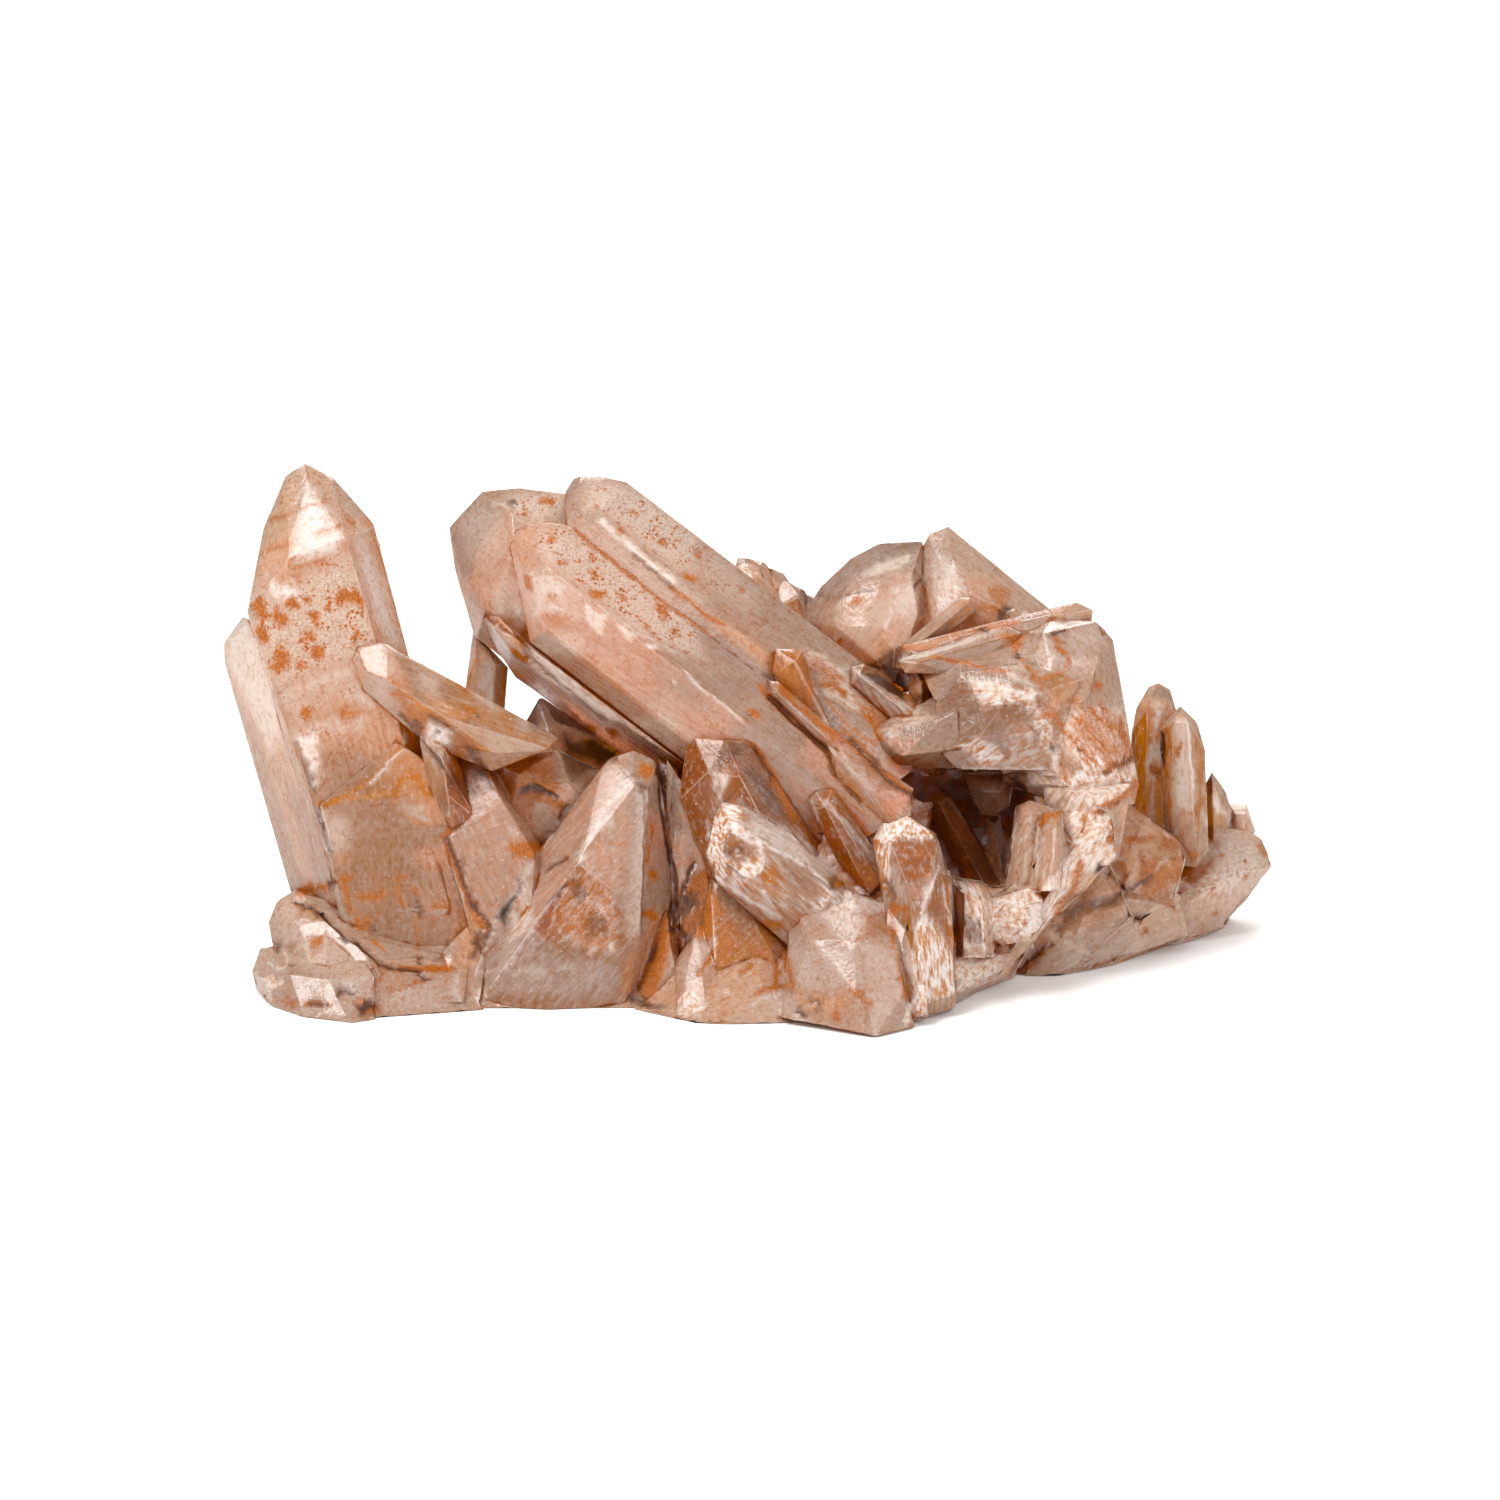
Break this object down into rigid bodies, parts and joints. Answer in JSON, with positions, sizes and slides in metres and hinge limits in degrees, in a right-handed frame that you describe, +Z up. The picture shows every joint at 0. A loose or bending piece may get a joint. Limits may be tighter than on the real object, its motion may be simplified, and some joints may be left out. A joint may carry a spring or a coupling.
{
  "type": "quartz crystal cluster",
  "caption": "Natural cluster of peach-pink milky quartz: long six-sided crystals with sloping tips grown together on a foot of massive quartz, stained with rust in the cracks.",
  "frame": {"origin": "on the floor, under the middle of the bounding box", "axes": "+X to the right of the picture, along the cluster's length; +Y away from the viewer; +Z up"},
  "size_m": [0.128, 0.0748, 0.0605],
  "materials": {
    "quartz": "glassy flat crystal faces, frosted breaks, milky peach-pink body with rust in the cracks"
  },
  "bodies": {
    "root": {"quartz_cluster": "quartz"}
  },
  "joints": []
}
